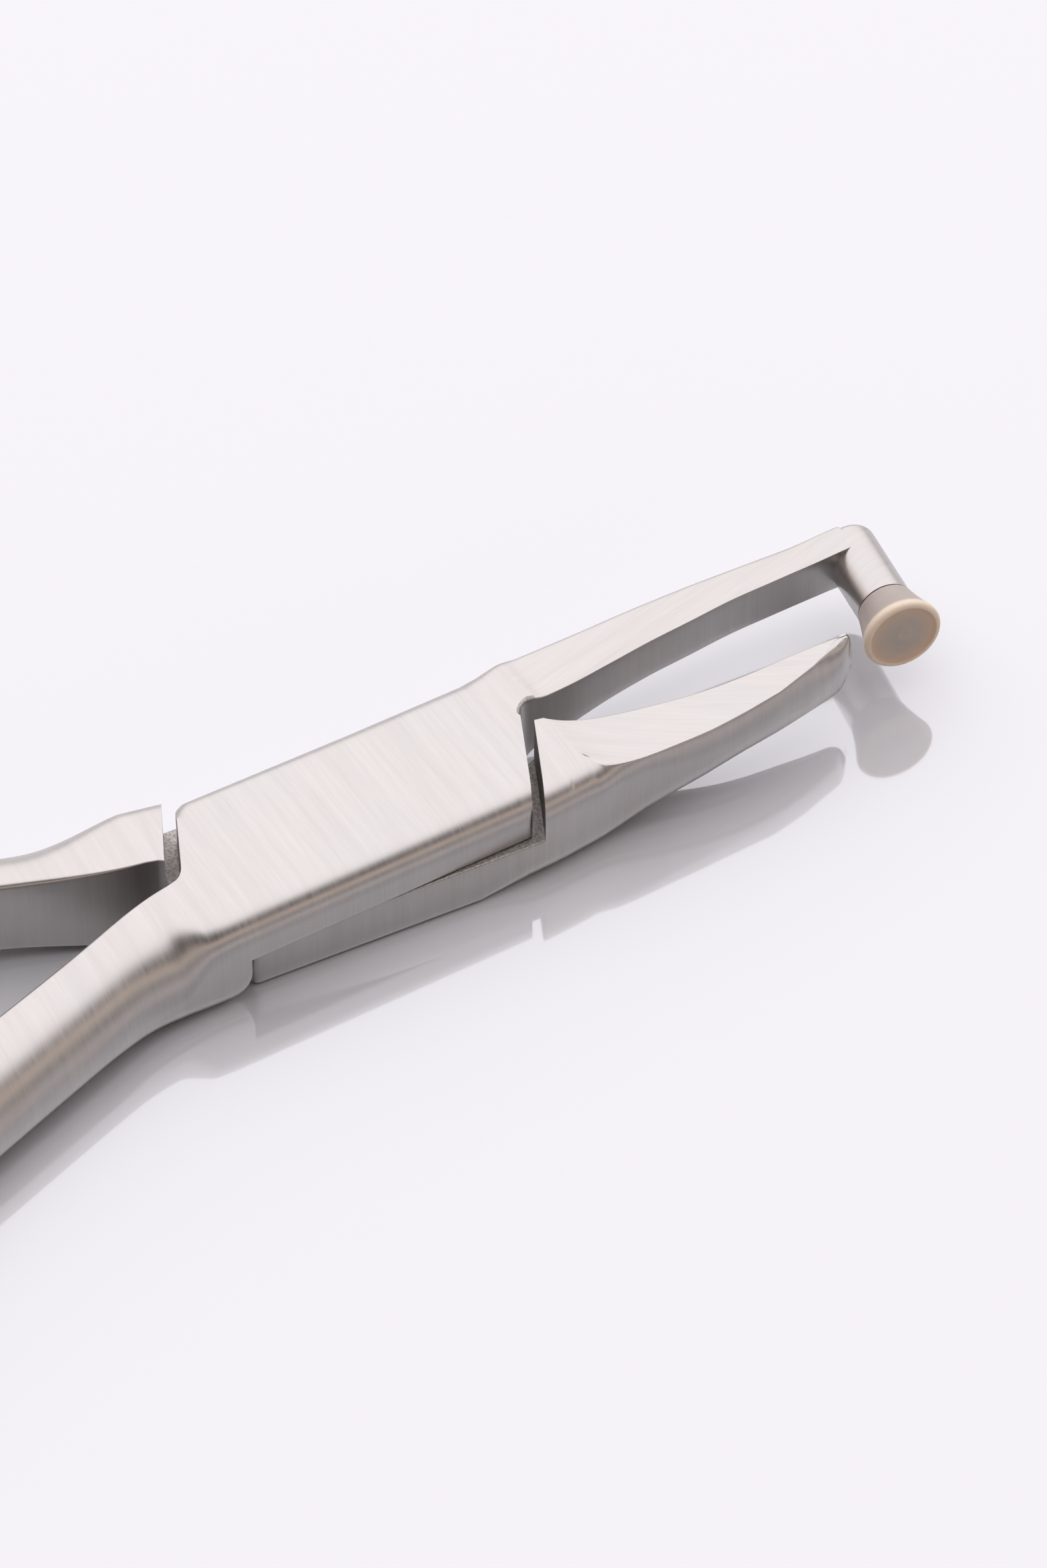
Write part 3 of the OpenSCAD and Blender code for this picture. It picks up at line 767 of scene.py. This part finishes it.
def build_beak_half(prefs):
    """The beak half in its own frame, mirrored at the end: handle, lower plate and scooped beak,
    whose outer wall bulges below the crease of the scoop."""
    joint, handle, beak = in_mm(prefs.joint), in_mm(prefs.handle), in_mm(prefs.beak)
    joint.plate_rear += beak.rear_more
    joint.heel_back -= beak.rear_more + 0.3
    front, rear, slant, r = joint.plate_front, -joint.plate_rear, joint.edge_tilt, beak.block_round
    handle_part = handle_rows(handle, joint, joint.beak_edge, 9)
    corner = slanted(front, slant, -0.3)
    shoulder = (*slanted(front + joint.end_gap, -joint.shoulder_tilt, -0.75),
                *slanted(front + joint.end_gap, -joint.shoulder_tilt, joint.wall_handle))
    keys = plate_keys(joint, joint.wall_handle, joint.wall_arm,
                      (0, JOINT_T / 2 - joint.lap_gap / 2), joint.beak_edge, handle_part[-1],
                      [(*corner, 8.3, joint.wall_handle, 1, 1.5), (*shoulder, 1, 1.6)])
    keys += [[*shoulder, 0, JOINT_T, 0.12, 0.6, r, 1.6, 1],
             [12.45, -0.66, 11.6, 5.52, 0, JOINT_T, 0.12, 0.6, r, 1.6, 1]]
    middle = subdivide(np.array(keys, float), 0.2)
    blunt = beak.reach - 1.65
    x = np.concatenate([np.linspace(12.5, 17, 36), np.linspace(17, blunt, 52)[1:],
                        blunt + (beak.reach - blunt) * np.sin(np.linspace(0, pi / 2, 30)[1:])])
    inside = through(x, [12.4, 13.1, 14.7, 16.8, 19.1, 22.3, 25.6, 29, 34], beak.inner + np.array(
        [-1.96, -1.58, -1.06, -0.71, -0.43, -0.11, 0.04, 0, 0]))
    across_x = x - ease(x, 12.5, 13.8, 0.9, 0)
    outside = through(across_x, [11, 13, 15, 17, 19, 21.4, 24, 26.8, 29.5, 31.1, 32.3, 33.4],
                      [5.6, 5.32, 5.08, 4.95, 4.88, 4.75, 4.45, 3.98, 3.3, 2.8, 2.35, 1.9])

    def blunted(run):
        """Runs from 1 to 0 as a quarter ellipse over the last stretch of the nose."""
        return np.sqrt(np.clip(1 - (np.maximum(x - beak.reach + run, 0) / run) ** 2, 0, 1))

    near, under, over = blunted(1.3), blunted(1.65), blunted(0.5)
    outside = inside + (outside - inside) * near
    low = through(x, [9, 12.7, 14.5, 17, 20.5, 24, 27.8, 31.2, 34],
                  [0, 0.02, 0.2, 0.7, 1.42, 2.06, 2.32, 2.5, 2.6])
    low = beak.nose_height + (low - beak.nose_height) * under
    high = beak.nose_height + (JOINT_T - beak.nose_height) * over
    jaw = columns(x, inside, across_x, outside, low, high, 0.1 * over,
                  ease(x, 13, 20, 0.6, 1.0) * under,
                  ease(x, 13.5, 19, r, beak.cheek) * ease(x, 28, 32.5, 1, 0.5),
                  ease(x, 13, 18, 1.6, beak.belly) * under * ease(x, 27, 32, 1, 0.8), 1)
    rows = np.vstack([handle_part, middle, jaw])
    soften_all(rows, 2, (slanted(rear, slant, -handle.fork_out), 0.9),
               (slanted(rear, slant, joint.wall_handle), 0.4), (shoulder[2:], 1.5))
    soften_all(rows, 0, (slanted(front, slant, -joint.wall_arm), 0.35), (corner, 0.35))
    ridge_x = [12.5, 12.7, 12.85, 13.05, 13.3, 13.65, 14.05, 14.45, 14.9, 15.6, 16.4, 17.6, 18.8,
               20.1, 21.4, 24.1, 26.8, 29.5, 31.1, 32.3, 32.7]
    ridge_y = [-0.7, 0.5, 2.2, 3.0, 3.5, 3.95, 4.27, 4.5, 4.64, 4.72, 4.74, 4.69, 4.6,
               4.52, 4.42, 4.08, 3.66, 2.8, 2.05, 1.4, 1.3]
    way = rows[:, 2:4] - rows[:, :2]
    width = np.linalg.norm(way, axis=1)
    in_beak = np.arange(len(rows)) >= len(rows) - len(jaw)
    share = np.linspace(0, 1, 600)
    px, py = (rows[:, k, None] + way[:, k, None] * share for k in (0, 1))
    above = py - np.interp(px, ridge_x, ridge_y)
    last = np.clip(share.size - 1 - np.argmax(above[:, ::-1] < 0, axis=1), 0, share.size - 2)
    i = np.arange(len(rows))
    part = np.clip(above[i, last] / (above[i, last] - above[i, last + 1] - 1e-12), 0, 1)
    crossing = np.where((above < 0).any(axis=1), (last + part) / (share.size - 1), 0)
    crease = np.where(in_beak, np.maximum(width * (1 - crossing), 0.02), width)

    def scoop_depth(px, py):
        """Falls away in front of the ridge as 1 - exp(-distance / run), the distance softened to a
        hyperbola at the ridge, and rises again to the tip."""
        past = px - np.interp(py, [-0.7, 0.5, 2.2, 3.5, 4.3, 5],
                              [12.5, 12.7, 12.85, 13.1, 13.3, 13.5])
        past = (past + np.sqrt(past ** 2 + 0.06)) / 2
        return beak.scoop * (1 - np.exp(-past / beak.scoop_run)) - ease(px, 21, 32, 0, 0.55)

    def flat_depth(px, py):
        """None on the block, the scoop's where the crease has reached the inner wall."""
        return np.where(px > 16, scoop_depth(px, py), 0)

    points = sections(rows, crease, scoop_depth, flat_depth)
    slots = np.full((len(points) - 1, points.shape[1]), ACROSS)
    slots[in_beak[:-1], TOP_START + ARC - 1:TOP_START + ARC + SCOOP] = ALONG
    cut = np.flatnonzero(middle[:, 5] < 5) + len(handle_part)
    slots[cut[0] - 1:cut[-1] + 1, TOP_START + 2:TOP_END - 2] = MILLED
    points[..., 1] *= -1
    return points, slots


class PLIER_OT_beak_half(bpy.types.Operator):
    """Builds the beak half and hides its plain node"""
    bl_idname = "plier.beak_half"
    bl_label = "Beak half"

    def execute(self, context):
        prefs = context.scene.plier
        finish = in_mm(prefs.finish)
        points, slots = build_beak_half(prefs)
        materials = [brushed_steel("beak_brushed_steel", finish, 0.0),
                     brushed_steel("beak_scoop_steel", finish, radians(62), 8.0),
                     milled_steel("beak_milled_steel", finish)]
        piece = closed_mesh("beak_half_forging", points, slots, materials, flip=True)
        head, stem, chamfer = RIVET_R + RUNNING, STEM_R + RUNNING, 0.12
        bored(piece, [(0, -1), (head + chamfer + 1, -1), (head, chamfer), (head, HEAD_T),
                      (stem, HEAD_T), (stem, 5), (0, 5)], materials)
        crisp(piece)
        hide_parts("beak_half")
        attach(piece, "beak_body")
        return {"FINISHED"}


class PLIER_OT_arm_half(bpy.types.Operator):
    """Builds the arm half with its stud and hides its plain node"""
    bl_idname = "plier.arm_half"
    bl_label = "Arm half"

    def execute(self, context):
        prefs = context.scene.plier
        finish = in_mm(prefs.finish)
        points, slots = build_arm_half(prefs)
        joint, arm = in_mm(prefs.joint), in_mm(prefs.arm)
        turn = joint.rest_angle
        materials = [brushed_steel("arm_brushed_steel", finish, turn),
                     brushed_steel("arm_top_steel", finish, turn + radians(102), 8.0),
                     milled_steel("arm_milled_steel", finish)]
        piece = closed_mesh("arm_half_forging", turned(points, turn), slots, materials)
        profile, groove = stud_profile(arm)
        grid = on_stud(revolved(profile), arm, joint)
        stud_slots = np.full(grid.shape[:2], ALONG)[:-1]
        stud_slots[groove:groove + 3] = MILLED
        stud = closed_mesh("stud", grid, stud_slots, materials)
        combine(piece, stud, "UNION")
        bored(piece, [(0, -1), (STEM_R, -1), (STEM_R, RIVET_TOP), (0, RIVET_TOP)], materials)
        crisp(piece)
        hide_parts("arm_half")
        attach(piece, "arm_body")
        return {"FINISHED"}


class PLIER_OT_pad(bpy.types.Operator):
    """Builds the flared plastic pad and hides its plain node"""
    bl_idname = "plier.pad"
    bl_label = "Pad"

    def execute(self, context):
        prefs = context.scene.plier
        joint, arm, pad = in_mm(prefs.joint), in_mm(prefs.arm), in_mm(prefs.pad)
        seat = np.array([0, 0, arm.stud_length])
        grid = on_stud(revolved(pad_profile(arm, pad)) + seat, arm, joint)
        face, back = on_stud(np.array([[0, 0, seat[2] + pad.height], seat]), arm, joint)
        axis = (face - back) / np.linalg.norm(face - back)
        material = pad_plastic("pad_cream_plastic", in_mm(prefs.finish), tuple(face * MM),
                               tuple(axis), pad)
        piece = closed_mesh("pad_cap", grid, np.zeros(grid.shape[:2])[:-1], [material])
        crisp(piece, 50)
        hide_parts("pad")
        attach(piece, "arm_body")
        return {"FINISHED"}


class PLIER_OT_rivet(bpy.types.Operator):
    """Gives the rivet its turned finish"""
    bl_idname = "plier.rivet"
    bl_label = "Rivet"

    def execute(self, context):
        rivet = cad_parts["pivot_rivet"]
        rivet.data.materials.clear()
        finish = in_mm(context.scene.plier.finish)
        rivet.data.materials.append(turned_steel("rivet_turned_steel", finish))
        return {"FINISHED"}


class PLIER_OT_stage(bpy.types.Operator):
    """Makes the floor, the light and the camera"""
    bl_idname = "plier.stage"
    bl_label = "Stage"

    def execute(self, context):
        scene, stage = context.scene, in_mm(context.scene.plier.stage)
        scene.view_settings.view_transform = "Standard"
        reach, below = 3.0, -0.00002  # metres
        mesh = bpy.data.meshes.new("floor")
        corners = ((-reach, -reach), (reach, -reach), (reach, reach), (-reach, reach))
        mesh.from_pydata([(x, y, 0) for x, y in corners], [], [(0, 1, 2, 3)])
        floor = bpy.data.objects.new("floor", mesh)
        floor.location.z = below
        scene.collection.objects.link(floor)
        material = bpy.data.materials.new("glossy_floor")
        n = Nodes(material)
        shader = n.add("ShaderNodeBsdfPrincipled", {
            "Base Color": (*stage.floor, 1), "Metallic": stage.floor_metal,
            "Roughness": stage.floor_rough})
        n.add("ShaderNodeOutputMaterial", {"Surface": shader.outputs[0]})
        mesh.materials.append(material)
        self.studio(scene)
        self.lamp(scene)
        self.camera(scene, stage)
        return {"FINISHED"}

    def studio(self, scene):
        """A studio as a world: walls whose tint goes with how high a direction points, warm at mid
        height and dark overhead, and a soft panel that fills the far side, fading by a smooth step
        in how far a direction points there, and towards the floor by another."""
        world = bpy.data.worlds.new("studio")
        scene.world = world
        n = Nodes(world)
        towards = n.add("ShaderNodeTexCoord").outputs["Generated"]
        height = n.add("ShaderNodeSeparateXYZ", {0: towards}).outputs["Z"]
        place = n.add("ShaderNodeMapRange", {"Value": height, "From Min": -1.0, "From Max": 1.0})
        walls = n.add("ShaderNodeValToRGB", {"Fac": place.outputs[0]})
        ramp = walls.color_ramp
        ramp.interpolation = "EASE"
        tints = ((0.44, (0.30, 0.29, 0.30)), (0.51, (0.24, 0.23, 0.23)),
                 (0.57, (0.55, 0.50, 0.47)), (0.64, (1.35, 1.1, 0.96)),
                 (0.73, (0.10, 0.088, 0.084)), (1.0, (0.12, 0.11, 0.11)))
        for at, _ in tints[1:-1]:
            ramp.elements.new(at)
        for stop, (at, tint) in zip(ramp.elements, tints):
            stop.position, stop.color = at, (*tint, 1)
        far = n.vector("DOT_PRODUCT", {0: towards, 1: PANEL}, "Value")
        panel, skirt = n.fade(far, 0.28, 0.66), n.fade(height, -0.05, 0.5, 0.5)
        glow = n.mix(n.math("MULTIPLY", panel, skirt), walls.outputs[0], PANEL_LIGHT)
        back = n.add("ShaderNodeBackground", {"Color": glow, "Strength": 1.0})
        n.add("ShaderNodeOutputWorld", {"Surface": back.outputs[0]})

    def lamp(self, scene):
        """A broad lamp on the panel's side, which lights only what is matt."""
        lamp = bpy.data.lights.new("overhead", "AREA")
        lamp.energy, lamp.size, distance = 1.4, 0.9, 0.95
        aim = np.array([0.22, 0.45, 0.866])
        side = np.cross([0, 0, 1], aim)
        side /= np.linalg.norm(side)
        top = bpy.data.objects.new("overhead", lamp)
        placed(top, np.column_stack([side, np.cross(aim, side), aim]), aim * distance)
        top.visible_glossy = top.visible_camera = False
        scene.collection.objects.link(top)

    def camera(self, scene, stage):
        """Looks down at the point on the floor from the stage's azimuth and elevation."""
        a, e = stage.camera_azimuth, stage.camera_elevation
        right = np.array([cos(a), -sin(a), 0])
        ahead = np.array([sin(a) * cos(e), cos(a) * cos(e), -sin(e)])
        place = np.array([stage.look_x, stage.look_y, 0]) - ahead * stage.camera_distance
        data = bpy.data.cameras.new("camera")
        data.sensor_fit, data.sensor_height, data.lens = "VERTICAL", 36, 136.8
        data.clip_start = 0.01
        eye = bpy.data.objects.new("camera", data)
        placed(eye, np.column_stack([right, np.cross(right, ahead), -ahead]), place * MM)
        scene.collection.objects.link(eye)
        scene.camera = eye


class Plier(bpy.types.PropertyGroup):
    """All that a user may change."""
    joint: PointerProperty(type=JointSizes)
    handle: PointerProperty(type=HandleSizes)
    arm: PointerProperty(type=ArmSizes)
    beak: PointerProperty(type=BeakSizes)
    pad: PointerProperty(type=PadSizes)
    finish: PointerProperty(type=Finish)
    stage: PointerProperty(type=StageSizes)


BUILD_ORDER = (PLIER_OT_stage, PLIER_OT_beak_half, PLIER_OT_arm_half, PLIER_OT_pad, PLIER_OT_rivet)


class PLIER_PT_build(bpy.types.Panel):
    """Lists the plier's operators in the sidebar"""
    bl_idname = "PLIER_PT_build"
    bl_label = "Band removing plier"
    bl_space_type = "VIEW_3D"
    bl_region_type = "UI"
    bl_category = "Plier"

    def draw(self, context):
        for operator in BUILD_ORDER:
            self.layout.operator(operator.bl_idname)


CLASSES = (JointSizes, HandleSizes, ArmSizes, BeakSizes, PadSizes, Finish, StageSizes, Plier,
           *BUILD_ORDER, PLIER_PT_build)


def register():
    for cls in CLASSES:
        bpy.utils.register_class(cls)
    bpy.types.Scene.plier = PointerProperty(type=Plier)


def unregister():
    del bpy.types.Scene.plier
    for cls in reversed(CLASSES):
        bpy.utils.unregister_class(cls)


def main():
    register()
    bpy.ops.plier.stage()
    bpy.ops.plier.beak_half()
    bpy.ops.plier.arm_half()
    bpy.ops.plier.pad()
    bpy.ops.plier.rivet()


if __name__ == "__main__":
    main()
